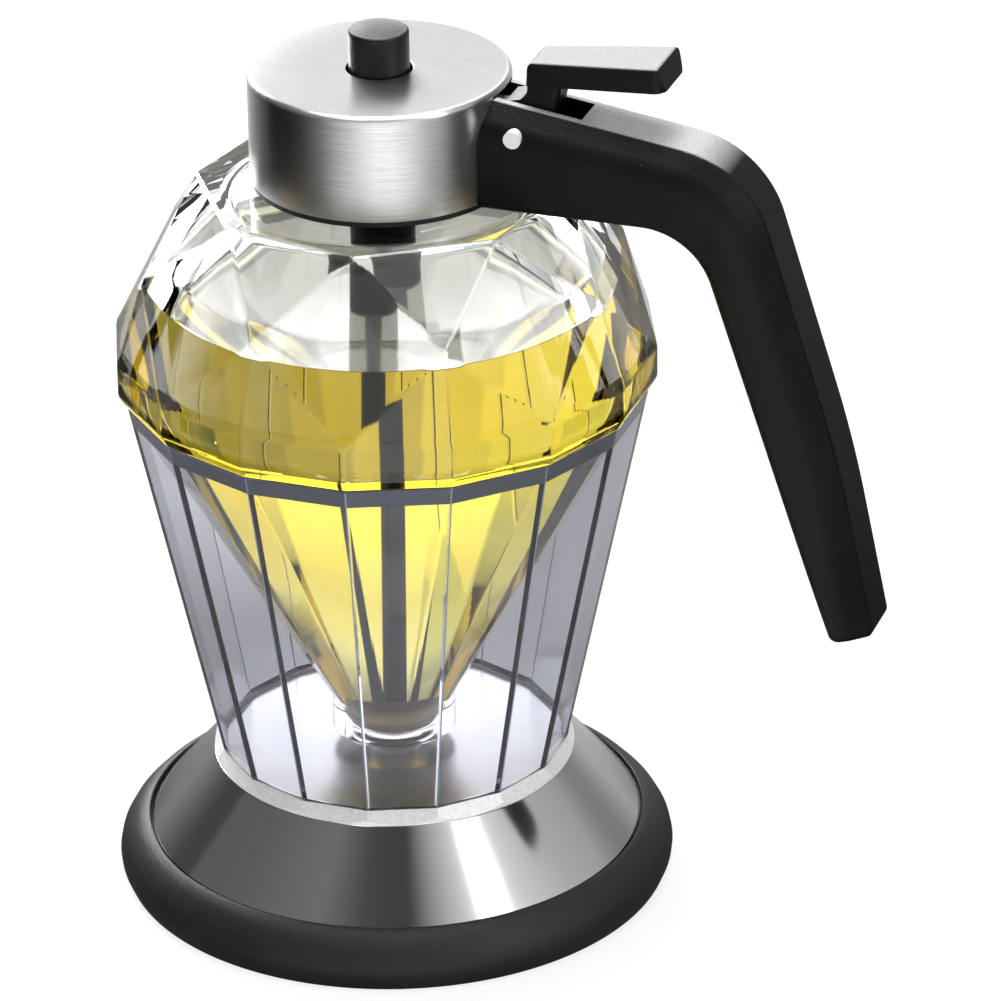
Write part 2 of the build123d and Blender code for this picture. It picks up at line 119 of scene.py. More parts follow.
def by_compass(stops):
    """Ramp stops from (degrees, grey) pairs; 0 is the camera's side, and they grow towards its right."""
    camera_side = degrees(atan2(camera_place.y, camera_place.x))
    return sorted((((camera_side + turn + 180) % 360) / 360, shade) for turn, shade in stops)


def compass(tree, place):
    """A direction's or a place's share of a full turn, and its height."""
    parts = tree.nodes.new("ShaderNodeSeparateXYZ")
    link(tree, place, parts.inputs[0])
    turn = math_node(tree, "ARCTAN2", parts.outputs[1], parts.outputs[0])
    return math_node(tree, "MULTIPLY_ADD", turn, 0.5 / pi, 0.5), parts.outputs[2]


def glowing(tree, kind, strength, view=grey(1)):
    """Background or emission in a view's colours."""
    node = tree.nodes.new(kind)
    feed(tree, view, node.inputs[0])
    node.inputs[1].default_value = strength
    return node.outputs[0]


def for_rays(tree, glow, mirrored, through, seen):
    """Keeps the glow for plain light, and gives mirrors, clear pieces and the camera their own views."""
    path = tree.nodes.new("ShaderNodeLightPath")
    kinds = (("Is Glossy Ray", mirrored), ("Is Transmission Ray", through), ("Is Camera Ray", seen))
    for kind, view in kinds:
        choice = tree.nodes.new("ShaderNodeMixShader")
        link(tree, path.outputs[kind], choice.inputs[0])
        link(tree, glow, choice.inputs[1])
        link(tree, view, choice.inputs[2])
        glow = choice.outputs[0]
    return glow


# Shares of the sweep's brightest stretch: for metal, low and high, and for clear pieces, above the
# table's edge and on the table.
front_low = by_compass((
    (-170, 0.3), (-150, 0.22), (-118, 0.05), (-96, 0.0), (-72, 0.01), (-52, 0.12), (-29, 0.56),
    (-7, 1.0), (10, 1.0), (28, 0.68), (46, 0.22), (66, 0.01), (86, 0.0), (110, 0.0), (150, 0.4),
    (175, 0.45),
))
ceiling = by_compass((
    (-175, 0.8), (-145, 0.12), (-123, 0.05), (-92, 0.1), (-45, 0.15), (-20, 0.06), (8, 0.04),
    (22, 0.3), (40, 0.6), (65, 0.62), (92, 0.4), (110, 0.34), (142, 0.15), (165, 0.75),
))
glass_above = by_compass((
    (-175, 0.9), (-155, 0.95), (-125, 1.0), (-108, 1.0), (-92, 0.7), (-75, 0.2), (-55, 0.03),
    (-10, 0.02), (20, 0.04), (50, 0.04), (75, 0.2), (92, 0.7), (108, 0.9), (125, 0.95), (150, 0.95),
    (170, 0.9),
))
glass_below = by_compass((
    (-175, 0.62), (-150, 0.9), (-130, 0.8), (-95, 0.4), (-60, 0.3), (60, 0.3), (95, 0.35),
    (125, 0.28), (150, 0.27), (165, 0.32), (179, 0.45),
))
metal_bright = 1.6
glass_bright = 5.2
table_glass_bright = 2.2
plain_light = 0.5

world = bpy.data.worlds.new("studio")
world.use_nodes = True
scene.world = world
tree = world.node_tree
tree.nodes.clear()
place = tree.nodes.new("ShaderNodeTexCoord").outputs["Generated"]
share, up = compass(tree, place)
low, high, clear = (ramp(tree, share, stops) for stops in (front_low, ceiling, glass_above))
metal_view = mixed(tree, ramp(tree, up, ((0.12, 0.0), (0.38, 1.0))), low, high)
overhead = ramp(tree, up, (
    (0.34, 0.16), (0.4, 0.37), (0.48, 0.37), (0.54, 0.16), (0.6, 0.16), (0.7, 0.16), (0.82, 0.29),
    (0.95, 0.24),
))
rise = ramp(tree, up, ((0.2, 0.0), (0.38, 0.5), (0.5, 0.5), (0.65, 1.0)))
clear_view = mixed(tree, rise, clear, overhead)
glow = for_rays(
    tree,
    glowing(tree, "ShaderNodeBackground", plain_light),
    glowing(tree, "ShaderNodeBackground", metal_bright, metal_view),
    glowing(tree, "ShaderNodeBackground", glass_bright, clear_view),
    glowing(tree, "ShaderNodeBackground", 1.0),
)
link(tree, glow, tree.nodes.new("ShaderNodeOutputWorld").inputs[0])

# Floor: a white table top under the object. It glows for the camera, for metal and for glass, and
# keeps the object's shadow. Near the foot, metal and glass see it darker: a painted shadow.
floor_r = 6000.0
floor_drop = 0.05
bm = bmesh.new()
bmesh.ops.create_circle(bm, cap_ends=True, segments=96, radius=floor_r * mm)
floor_mesh = bpy.data.meshes.new("floor")
bm.to_mesh(floor_mesh)
bm.free()
floor = bpy.data.objects.new("floor", floor_mesh)
floor.location.z = -floor_drop * mm
scene.collection.objects.link(floor)
white_table = bpy.data.materials.new("white_table")
white_table.use_nodes = True
tree = white_table.node_tree
tree.nodes.clear()
paper = tree.nodes.new("ShaderNodeBsdfDiffuse")
paper.inputs[0].default_value = grey(0.93)
place = tree.nodes.new("ShaderNodeNewGeometry").outputs["Position"]
share = compass(tree, place)[0]
low, clear = ramp(tree, share, front_low), ramp(tree, share, glass_below)
span = tree.nodes.new("ShaderNodeVectorMath")
span.operation = "LENGTH"
link(tree, place, span.inputs[0])
past_painted_shade = ramp(tree, span.outputs["Value"], ((0.055, 0.0), (0.08, 1.0)))
past_painted_shadow = ramp(tree, span.outputs["Value"], ((0.1, 0.0), (0.16, 1.0)))
# Painted shadow: metal sees the floor dark round the foot, and glass sees it grey under the object.
metal_view = mixed(tree, past_painted_shade, grey(0.1), low)
clear_view = mixed(tree, past_painted_shadow, grey(0.34), clear)
almost_white = tree.nodes.new("ShaderNodeMixShader")
almost_white.inputs[0].default_value = 0.8
link(tree, paper.outputs[0], almost_white.inputs[1])
link(tree, glowing(tree, "ShaderNodeEmission", 1.0), almost_white.inputs[2])
glow = for_rays(
    tree,
    paper.outputs[0],
    glowing(tree, "ShaderNodeEmission", metal_bright, metal_view),
    glowing(tree, "ShaderNodeEmission", table_glass_bright, clear_view),
    almost_white.outputs[0],
)
link(tree, glow, tree.nodes.new("ShaderNodeOutputMaterial").inputs[0])
floor_mesh.materials.append(white_table)


# Lamps: a large soft box overhead, a strip at the right and a lower box behind at the left, placed in
# metres. Clear pieces show the sweep behind them, not the lamps.
def soft_box(name, place, aim, size, power):
    lamp = bpy.data.lights.new(name, "AREA")
    lamp.shape = "RECTANGLE"
    lamp.size, lamp.size_y = size
    lamp.energy = power
    box = bpy.data.objects.new(name, lamp)
    box.location = place
    box.rotation_euler = (Vector(aim) - Vector(place)).to_track_quat("-Z", "Y").to_euler()
    box.visible_transmission = False
    scene.collection.objects.link(box)


soft_box("top_box", place=(-0.1, 0.15, 1.4), aim=(0, 0, 0.1), size=(0.9, 0.9), power=28)
soft_box("right_strip", place=(1.05, -0.35, 0.75), aim=(0.05, 0, 0.1), size=(0.25, 0.9), power=3)
soft_box("back_box", place=(-0.85, 0.85, 0.62), aim=(0.03, 0, 0.12), size=(0.5, 0.45), power=14)


# Foot ring: charcoal rubber moulding that grips the table, with a soft matt skin. The steel's edge
# sits in a recess behind its upper lip.
def rounded(points, radii, steps=5):
    """Closed outline with an arc of the given radius in place of each corner."""
    line = []
    count = len(points)
    for i, (here, radius) in enumerate(zip(points, radii)):
        here = Vector(here)
        if not radius:
            line.append(tuple(here))
            continue
        back = (Vector(points[i - 1]) - here).normalized()
        on = (Vector(points[(i + 1) % count]) - here).normalized()
        half = back.angle(on) / 2
        reach = radius / tan(half)
        centre = here + (back + on).normalized() * (radius / sin(half))
        start, end = here + back * reach - centre, here + on * reach - centre
        for k in range(steps + 1):
            spoke = start.lerp(end, k / steps).normalized() * radius
            line.append(tuple(centre + spoke))
    return line


def add_piece(name, bm, smooth_angle=30):
    """Object from a bmesh in millimetres, smooth except at edges sharper than the angle; 0 is flat."""
    bmesh.ops.scale(bm, vec=(mm, mm, mm), verts=bm.verts)
    mesh = bpy.data.meshes.new(name)
    bm.to_mesh(mesh)
    bm.free()
    if smooth_angle:
        mesh.shade_smooth()
        mesh.set_sharp_from_angle(angle=radians(smooth_angle))
    piece = bpy.data.objects.new(name, mesh)
    scene.collection.objects.link(piece)
    return piece


def turned(profile, steps=224):
    """bmesh of revolution about Z from a closed (radius, height) outline in millimetres."""
    bm = bmesh.new()
    line = [bm.verts.new((r, 0, z)) for r, z in profile]
    pairs = zip(line, line[1:] + line[:1])
    edges = [bm.edges.new(pair) for pair in pairs if hypot(pair[0].co.x, pair[1].co.x) > 1e-6]
    bmesh.ops.spin(
        bm, geom=line + edges, cent=(0, 0, 0), axis=(0, 0, 1), dvec=(0, 0, 0), angle=2 * pi,
        steps=steps, use_merge=True,
    )
    bmesh.ops.remove_doubles(bm, verts=bm.verts, dist=1e-4)
    bmesh.ops.recalc_face_normals(bm, faces=bm.faces)
    return bm


def new_group(name, inputs, outputs):
    """Shader node group with named sockets; returns the tree, its inputs node and its outputs node."""
    group = bpy.data.node_groups.new(name, "ShaderNodeTree")
    for label, kind, value in inputs:
        socket = group.interface.new_socket(name=label, in_out="INPUT", socket_type=kind)
        if value is not None:
            socket.default_value = value
    for label, kind in outputs:
        group.interface.new_socket(name=label, in_out="OUTPUT", socket_type=kind)
    return group, group.nodes.new("NodeGroupInput"), group.nodes.new("NodeGroupOutput")


def own_place(tree):
    """A place in the piece's own axes, which ride with it."""
    return tree.nodes.new("ShaderNodeTexCoord").outputs["Object"]


def noise(tree, vector, scale, detail=2.0, rough=0.5):
    node = tree.nodes.new("ShaderNodeTexNoise")
    node.inputs["Detail"].default_value = detail
    node.inputs["Roughness"].default_value = rough
    feed(tree, scale, node.inputs["Scale"])
    link(tree, vector, node.inputs["Vector"])
    return node.outputs["Fac"]


# The skin of a moulding: a fine grain, a slow unevenness, and a few pale specks of dust.
moulded_skin, group_in, group_out = new_group(
    "moulded_skin",
    (("Grain", "NodeSocketFloat", 2600.0), ("Dust", "NodeSocketFloat", 0.5)),
    (("Height", "NodeSocketFloat"), ("Unevenness", "NodeSocketFloat"), ("Specks", "NodeSocketFloat")),
)
speck_size, speck_share = 0.055, 0.06
tree = moulded_skin
place = own_place(tree)
link(tree, noise(tree, place, group_in.outputs["Grain"]), group_out.inputs["Height"])
link(tree, noise(tree, place, 60.0, 3.0), group_out.inputs["Unevenness"])
cells = tree.nodes.new("ShaderNodeTexVoronoi")
cells.inputs["Scale"].default_value = 260.0
link(tree, place, cells.inputs["Vector"])
near = math_node(tree, "LESS_THAN", cells.outputs["Distance"], speck_size)
chosen = tree.nodes.new("ShaderNodeSeparateColor")
link(tree, cells.outputs["Color"], chosen.inputs[0])
share = math_node(tree, "MULTIPLY", group_in.outputs["Dust"], speck_share)
few = math_node(tree, "LESS_THAN", chosen.outputs[0], share)
link(tree, math_node(tree, "MULTIPLY", near, few), group_out.inputs["Specks"])


def place_group(tree, group, **values):
    node = tree.nodes.new("ShaderNodeGroup")
    node.node_tree = group
    for label, value in values.items():
        node.inputs[label].default_value = value
    return node


def new_finish(name, color, roughness, metallic=0.0, **more):
    """Material with a Principled shader; returns the material, its tree and the shader."""
    material = bpy.data.materials.new(name)
    material.use_nodes = True
    tree = material.node_tree
    shader = tree.nodes["Principled BSDF"]
    shader.inputs["Base Color"].default_value = (*color, 1)
    shader.inputs["Roughness"].default_value = roughness
    shader.inputs["Metallic"].default_value = metallic
    for label, value in more.items():
        shader.inputs[label.replace("_", " ")].default_value = value
    return material, tree, shader


def set_bump(tree, shader, height, strength, depth):
    """Relief of a depth in millimetres."""
    bump = tree.nodes.new("ShaderNodeBump")
    bump.inputs["Strength"].default_value = strength
    bump.inputs["Distance"].default_value = depth * mm
    link(tree, height, bump.inputs["Height"])
    link(tree, bump.outputs["Normal"], shader.inputs["Normal"])


def facing_up(tree, start=0.8, end=0.97):
    """Mask of the faces that look up, in the piece's own axes."""
    parts = tree.nodes.new("ShaderNodeSeparateXYZ")
    link(tree, tree.nodes.new("ShaderNodeTexCoord").outputs["Normal"], parts.inputs[0])
    return ramp(tree, parts.outputs[2], ((start, 0.0), (end, 1.0)))


def moulded_finish(name, color, roughness, grain, dust, relief, top_sheen=0.0, top_painted_highlight=None, **more):
    """Black moulded plastic or rubber: the skin group drives tone, gloss and relief. Where the mould is
    etched for grip, on the faces that look up, the grain is rougher and has a sheen, and its pale
    colour is a painted highlight of the light from above."""
    material, tree, shader = new_finish(name, color, roughness, **more)
    skin = place_group(tree, moulded_skin, Grain=grain, Dust=dust)
    pale = tuple(min(1.0, c * 1.6 + 0.001) for c in color)
    tone = ramp(tree, skin.outputs["Unevenness"], ((0.3, color), (0.7, pale)))
    gloss = math_node(tree, "MULTIPLY_ADD", skin.outputs["Unevenness"], 0.16, roughness - 0.08)
    if top_painted_highlight:
        top = facing_up(tree)
        # Painted highlight: the faces that look up get pale grain in their colour, for the light that
        # falls on them.
        grit = ramp(tree, skin.outputs["Height"], ((0.35, top_painted_highlight[0]), (0.65, top_painted_highlight[1])))
        tone = mixed(tree, top, tone, grit)
        gloss = math_node(tree, "MULTIPLY_ADD", top, 0.12, gloss)
        link(tree, math_node(tree, "MULTIPLY", top, top_sheen), shader.inputs["Sheen Weight"])
        shader.inputs["Sheen Roughness"].default_value = 0.35
    tone = mixed(tree, skin.outputs["Specks"], tone, grey(0.4))
    link(tree, tone, shader.inputs["Base Color"])
    link(tree, gloss, shader.inputs["Roughness"])
    set_bump(tree, shader, skin.outputs["Height"], relief, 0.1)
    return material


def dress(obj, material):
    obj.data.materials.clear()
    obj.data.materials.append(material)


foot_rubber = moulded_finish(
    "foot_rubber", (0.008, 0.0085, 0.009), roughness=0.5, grain=3200.0, dust=0.5, relief=0.6,
    Specular_IOR_Level=0.35,
)
foot_inner_r, foot_flat_r, recess_r = 41.6, 49.6, 45.0
recess_z, lip_z = 8.8, 9.7
bulge = [(50.4, 1.9), (50.55, 3.2), (50.2, 4.9), (49.2, 6.7), (47.5, 8.5), (45.9, 9.75), (45.2, 9.9)]
recess = [(recess_r, lip_z), (recess_r, recess_z), (foot_inner_r, recess_z)]
profile = [(foot_inner_r, 0.0), (foot_flat_r, 0.0)] + bulge + recess
foot_ring = add_piece("foot_ring_rubber", turned(profile), smooth_angle=50)
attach(foot_ring, "stand")
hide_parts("foot_ring")
dress(foot_ring, foot_rubber)

# Base plate: black moulded plate under the steel, held by the rubber ring. The screw collar in the
# lid is the same plastic.
black_plastic = moulded_finish(
    "black_plastic", (0.004, 0.0042, 0.004), roughness=0.42, grain=2600.0, dust=0.3, relief=0.25
)
for name in ("base_plate", "lid_collar"):
    dress(nodes[name], black_plastic)


# Steel base: one pressing in polished stainless steel, a mirror floor inside the cup, a step for the
# seat ring and the flared skirt. It has the faint haze and ripple of a wiped mirror finish.
mirror_haze, group_in, group_out = new_group(
    "mirror_haze",
    (("Size", "NodeSocketFloat", 30.0),),
    (("Haze", "NodeSocketFloat"), ("Ripple", "NodeSocketFloat")),
)
tree = mirror_haze
place = own_place(tree)
link(tree, noise(tree, place, group_in.outputs["Size"], 3.0, 0.6), group_out.inputs["Haze"])
link(tree, noise(tree, place, 90.0, 1.0), group_out.inputs["Ripple"])


def haze_over(tree, shader, size, least, spread):
    """Roughness that wanders with the haze, from the least up; returns the haze's node."""
    haze = place_group(tree, mirror_haze, Size=size)
    roughness = math_node(tree, "MULTIPLY_ADD", haze.outputs["Haze"], spread, least)
    link(tree, roughness, shader.inputs["Roughness"])
    return haze


def polished_finish(name, color, roughness, metallic=1.0):
    material, tree, shader = new_finish(name, color, roughness, metallic)
    haze = haze_over(tree, shader, size=28.0, least=roughness, spread=0.12)
    set_bump(tree, shader, haze.outputs["Ripple"], 0.04, 0.4)
    return material


sheet_t = 0.8
step_r, step_z = 29.2, 25.3
skirt_top_r, skirt_top_z = 32.7, 23.5
skirt_foot_r, skirt_foot_z = 44.6, 9.6
hem_in, hem_down = 0.6, 0.5
outer = [
    (0, step_z), (step_r, step_z), (step_r, skirt_top_z), (skirt_top_r, skirt_top_z),
    (skirt_foot_r, skirt_foot_z),
]
inner = [
    (skirt_foot_r - hem_in, skirt_foot_z - hem_down), (skirt_top_r - sheet_t / 2, skirt_top_z - sheet_t),
    (step_r - sheet_t, skirt_top_z - sheet_t), (step_r - sheet_t, step_z - sheet_t), (0, step_z - sheet_t),
]
profile = rounded(outer + inner, [0, 0.5, 0.15, 0.5, 0, 0, 0.3, 0.3, 0.3, 0])
stand_base = add_piece("stand_base_steel", turned(profile, steps=320), smooth_angle=40)
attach(stand_base, "stand")
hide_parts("stand_base")
dress(stand_base, polished_finish("polished_steel", (0.6, 0.6, 0.61), 0.05))
# The floor inside the cup is hazier than the skirt, and its paler colour is painted light.
stand_base.data.materials.append(polished_finish("inner_steel", (0.95, 0.95, 0.96), 0.2, 0.9))
for face in stand_base.data.polygons:
    if face.normal.z > 0.9 and face.center.z > (step_z - 0.3) * mm:
        face.material_index = 1

# Seat ring: bead-blasted metal between the skirt and the cup, round below and sixteen-sided above.
# The blasting leaves a pale, even speckle.
blasted, group_in, group_out = new_group(
    "blasted",
    (("Size", "NodeSocketFloat", 1800.0),),
    (("Speckle", "NodeSocketFloat"), ("Height", "NodeSocketFloat")),
)
tree = blasted
grit = noise(tree, own_place(tree), group_in.outputs["Size"], 2.0, 0.7)
link(tree, ramp(tree, grit, ((0.35, 0.0), (0.65, 1.0))), group_out.inputs["Speckle"])
link(tree, grit, group_out.inputs["Height"])

satin_metal, tree, shader = new_finish("satin_metal", (0.75, 0.75, 0.76), 0.5, 0.4)
grit = place_group(tree, blasted, Size=1700.0)
link(tree, ramp(tree, grit.outputs["Speckle"], ((0.0, 0.85), (1.0, 1.0))), shader.inputs["Base Color"])
set_bump(tree, shader, grit.outputs["Height"], 0.5, 0.2)
dress(nodes["seat_ring"], satin_metal)

# Stand cup: clear moulded plastic with a smoke tint, sixteen flat sides inside and out. Its rim is
# bevelled inwards and carries the jar.
facet_count = 16
facet_step = 2 * pi / facet_count
flat_share = cos(facet_step / 2)


def ring(radius, height, count=facet_count, first=facet_step / 2):
    """Corners of a level polygon; the first of sixteen stands half a facet off the X axis."""
    turns = [first + 2 * pi * k / count for k in range(count)]
    return [Vector((radius * cos(turn), radius * sin(turn), height)) for turn in turns]


def cut_stone(points, bevel=0.0, segments=2):
    """bmesh of the convex solid round the points, its edges softened by a small bevel."""
    bm = bmesh.new()
    for point in points:
        bm.verts.new(point)
    bmesh.ops.convex_hull(bm, input=bm.verts)
    spare = [v for v in bm.verts if not v.link_faces]
    bmesh.ops.delete(bm, geom=spare, context="VERTS")
    bmesh.ops.dissolve_limit(bm, angle_limit=radians(0.6), verts=bm.verts, edges=bm.edges)
    if bevel:
        bmesh.ops.bevel(
            bm, geom=bm.edges[:], offset=bevel, offset_type="OFFSET", segments=segments, profile=0.5,
            affect="EDGES", clamp_overlap=True,
        )
    bmesh.ops.recalc_face_normals(bm, faces=bm.faces)
    return bm


def combine(piece, *tools, operation="DIFFERENCE"):
    """Cuts tools out of a piece, or joins them to it, and leaves one mesh with no doubled points."""
    for tool in tools:
        modifier = piece.modifiers.new("combine", "BOOLEAN")
        modifier.operation = operation
        modifier.solver = "EXACT"
        modifier.object = tool
        bpy.context.view_layer.update()
        shaped = piece.evaluated_get(bpy.context.evaluated_depsgraph_get())
        mesh = bpy.data.meshes.new_from_object(shaped)
        piece.modifiers.clear()
        old, piece.data = piece.data, mesh
        bpy.data.meshes.remove(old)
        bpy.data.objects.remove(tool)
    bm = bmesh.new()
    bm.from_mesh(piece.data)
    bmesh.ops.remove_doubles(bm, verts=bm.verts, dist=1e-7)
    bm.to_mesh(piece.data)
    bm.free()


cup_foot_r, cup_z = 31.7, 25.9
cup_rim_r, rim_z = 46.7, 96.2
cup_slope = (cup_rim_r - cup_foot_r) / (rim_z - cup_z)
cup_wall = 2.3 / flat_share
bevel_low_r, bevel_top_r, rim_bevel_h = 43.6, 45.7, 3.7
bevel_slope = (bevel_top_r - bevel_low_r) / rim_bevel_h
cutter_past, bevel_cutter_low = 2.0, 1.0
cutter_top_z = rim_z + cutter_past
cup_edge_bevel = 0.14
cup_points = ring(cup_foot_r, cup_z) + ring(cup_rim_r, rim_z)
stand_cup = add_piece("stand_cup_clear", cut_stone(cup_points, cup_edge_bevel), 0)
hollow_low = ring(cup_foot_r - cup_wall - cutter_past * cup_slope, cup_z - cutter_past)
hollow_top = ring(cup_rim_r - cup_wall + cutter_past * cup_slope, cutter_top_z)
hollow = add_piece("cup_hollow", cut_stone(hollow_low + hollow_top), 0)
rim_low = ring(bevel_low_r - bevel_cutter_low * bevel_slope, rim_z - rim_bevel_h - bevel_cutter_low)
rim_top = ring(bevel_top_r + cutter_past * bevel_slope, cutter_top_z)
rim_cut = add_piece("cup_rim_cut", cut_stone(rim_low + rim_top), 0)
combine(stand_cup, hollow, rim_cut)
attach(stand_cup, "stand")
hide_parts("stand_cup")


def clear_finish(name, tint, ior, roughness=0.0, transmission=1.0):
    """Clear glass or plastic, with the faint waviness of a moulded surface."""
    material, tree, shader = new_finish(name, tint, roughness, IOR=ior)
    shader.inputs["Transmission Weight"].default_value = transmission
    set_bump(tree, shader, noise(tree, own_place(tree), 45.0, 1.0), 0.03, 0.5)
    return material, tree, shader


def stain(material, color, density):
    """Colour that deepens with the thickness that the light crosses."""
    tree = material.node_tree
    body = tree.nodes.new("ShaderNodeVolumeAbsorption")
    body.inputs["Color"].default_value = (*color, 1)
    body.inputs["Density"].default_value = density
    output = next(n for n in tree.nodes if n.type == "OUTPUT_MATERIAL")
    link(tree, body.outputs[0], output.inputs["Volume"])


smoke, smoke_density = (0.44, 0.46, 0.54), 190.0
smoke_clear, tree, shader = clear_finish("smoke_clear", (0.93, 0.93, 0.95), 1.5, transmission=0.96)
stain(smoke_clear, smoke, smoke_density)
shader.inputs["Specular Tint"].default_value = (0.4, 0.42, 0.5, 1)
dress(stand_cup, smoke_clear)

# The cup's bevelled rim and its edges: the same plastic, polished less and tinted slate. The slate is
# painted shade, for the dark lines that run along a clear plastic's edges.
rim_painted_shade, tree, shader = clear_finish("rim_painted_shade", (0.36, 0.41, 0.53), 1.5, 0.3, 0.5)
stain(rim_painted_shade, smoke, smoke_density)
stand_cup.data.materials.append(rim_painted_shade)
off_flat, off_level = 0.15, 0.8
bevel_low_z = rim_z - rim_bevel_h - 0.3
for face in stand_cup.data.polygons:
    centre, out = face.center / mm, face.normal
    outwards = (centre.x * out.x + centre.y * out.y) / hypot(centre.x, centre.y)
    facet = atan2(out.y, out.x) / facet_step
    on_edge = abs(facet - round(facet)) > off_flat and abs(out.z) < off_level
    if on_edge or (centre.z > bevel_low_z and outwards < 0.5):
        face.material_index = 1

# Glass jar: thick pressed glass, cut like a stone above the girdle, a faceted funnel below it, and
# a round neck and outlet. The inside is smooth.
ledge_z, girdle_z, girdle_top_z, star_z, table_z, neck_top_z = 96.5, 98.8, 104.7, 120.3, 134.0, 142.5
ledge_outer_r, ledge_inner_r, girdle_r, table_r = 46.9, 45.2, 48.3, 32.9
outlet_r, outlet_flat_r, outlet_face_r, outlet_bore_r = 11.0, 10.79, 10.2, 4.5
outlet_z, outlet_top_z, outlet_chamfer_h = 27.7, 34.9, 0.6
neck_root_r, neck_fillet_r, neck_low_r, neck_r, neck_bore_r = 20.6, 19.3, 18.5, 18.4, 14.5
neck_fillet_z, neck_low_z = table_z + 0.35, table_z + 1.2
wall, funnel_wall, star_wall = 2.8, 3.19, 3.16
crown_bevel, funnel_bevel, lip_chamfer = 0.45, 0.4, 0.5
kite_r = girdle_r + (table_r - girdle_r) * (star_z - girdle_top_z) / (table_z - girdle_top_z)
star_r = kite_r / cos(facet_step)
star_count = facet_count // 2
crown_points = ring(ledge_outer_r, ledge_z) + ring(girdle_r, girdle_z) + ring(girdle_r, girdle_top_z)
crown_points += ring(star_r, star_z, star_count, 1.5 * facet_step) + ring(table_r, table_z, star_count)
glass_jar = add_piece("glass_jar_clear", cut_stone(crown_points, crown_bevel, 3), 0)
funnel_slope = (ledge_inner_r - outlet_r) / (ledge_z - outlet_top_z)
funnel_points = ring(outlet_r, outlet_top_z) + ring(ledge_inner_r + funnel_slope, ledge_z + 1)
funnel = add_piece("jar_funnel", cut_stone(funnel_points, funnel_bevel, 3), 0)
neck_sunk_z, neck_sunk_r = table_z - 2.0, 19.5
neck_profile = [
    (0, neck_sunk_z), (neck_sunk_r, neck_sunk_z), (neck_root_r, table_z), (neck_fillet_r, neck_fillet_z),
    (neck_low_r, neck_low_z), (neck_r, neck_top_z - lip_chamfer), (neck_r - lip_chamfer, neck_top_z),
    (0, neck_top_z),
]
neck = add_piece("jar_neck", turned(neck_profile), 0)
outlet_sunk_z = outlet_top_z + 1.1
outlet_profile = [
    (0, outlet_z), (outlet_face_r, outlet_z), (outlet_flat_r, outlet_z + outlet_chamfer_h),
    (outlet_flat_r, outlet_sunk_z), (0, outlet_sunk_z),
]
outlet = add_piece("jar_outlet", turned(outlet_profile, steps=128), 0)
combine(glass_jar, funnel, neck, outlet, operation="UNION")


funnel_flat_r, shoulder_r = 44.33, 27.2
past_outlet_z, past_neck_z = outlet_z - 2.7, neck_top_z + 3.5


def jar_inside(grow=0.0):
    """Outline of the jar's smooth inside, from the outlet's bore to the neck, grown outwards. Its first
    and last points only give the corners beside them a direction."""
    seat_z = outlet_top_z - (outlet_flat_r - funnel_wall - outlet_bore_r) / (funnel_slope * flat_share)
    girdle = girdle_r * flat_share - wall
    corners = (
        ((outlet_bore_r, past_outlet_z), 0), ((outlet_bore_r, seat_z), 0),
        ((funnel_flat_r - funnel_wall, ledge_z), 4), ((girdle, girdle_z + 0.6), 3),
        ((girdle, girdle_top_z), 3), ((kite_r - star_wall, star_z), 5),
        ((shoulder_r, table_z - wall), 4), ((neck_bore_r, table_z - wall + 0.5), 2),
        ((neck_bore_r, past_neck_z), 0),
    )
    line = rounded([point for point, _ in corners], [radius for _, radius in corners], 8)[1:-1]
    return [(r + grow, z) for r, z in line]


cavity_low = [(0, past_outlet_z), (outlet_bore_r, past_outlet_z)]
cavity_top = [(neck_bore_r, past_neck_z), (0, past_neck_z)]
cavity = add_piece("jar_cavity", turned(cavity_low + jar_inside() + cavity_top), 0)
combine(glass_jar, cavity)
mesh = glass_jar.data
for face in mesh.polygons:
    centre, out = face.center / mm, face.normal
    radius = max(hypot(centre.x, centre.y), 0.1)
    inward = (centre.x * out.x + centre.y * out.y) / radius < 0.2 and centre.z > outlet_z + 0.1
    neck_side = radius < neck_root_r + 0.1 and table_z + 0.1 < centre.z < neck_top_z - 0.1
    face.use_smooth = bool((inward and abs(out.z) < 0.999) or neck_side)
mesh.update()
clear_glass, tree, shader = clear_finish("clear_glass", (0.992, 0.994, 0.992), 1.5)
stain(clear_glass, (0.93, 0.95, 0.94), 3.0)
dress(glass_jar, clear_glass)
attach(glass_jar, "jar")
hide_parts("glass_jar")

# Oil: fills the jar to below the shoulder. It reaches a hair into the glass, so that light passes
# from one to the other as it does where a liquid wets a wall.
oil_z = 115.6
wetting = 0.108
inside = jar_inside(wetting)
side = [p for p in inside if p[1] < oil_z]
after = next(p for p in inside if p[1] >= oil_z)
before = side[-1]
edge_r = before[0] + (after[0] - before[0]) * (oil_z - before[1]) / (after[1] - before[1])
level_z = oil_z - 0.6
climb = [(edge_r, oil_z), (edge_r - 0.4, oil_z - 0.35), (edge_r - 1.2, level_z)]
profile = [(0, side[0][1])] + side + climb + [(0, level_z)]
oil = add_piece("oil", turned(profile), smooth_angle=25)
golden_oil, tree, shader = clear_finish("golden_oil", (1.0, 1.0, 0.97), 1.47)
shader.inputs["Specular Tint"].default_value = grey(0.2)
stain(golden_oil, (0.982, 0.885, 0.0), 40.0)
dress(oil, golden_oil)
# The oil's top is pale and partly opaque: painted light, for the bright look of its surface.
oil_top, tree, shader = new_finish("oil_top", (0.95, 0.95, 0.9), 0.1, IOR=1.47)
shader.inputs["Transmission Weight"].default_value = 0.82
stain(oil_top, (0.98, 0.94, 0.7), 6.0)
set_bump(tree, shader, noise(tree, own_place(tree), 60.0, 1.0), 0.05, 0.5)
oil.data.materials.append(oil_top)
for face in oil.data.polygons:
    if face.normal.z > 0.5 and face.center.z > girdle_z * mm:
        face.material_index = 1
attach(oil, "jar")

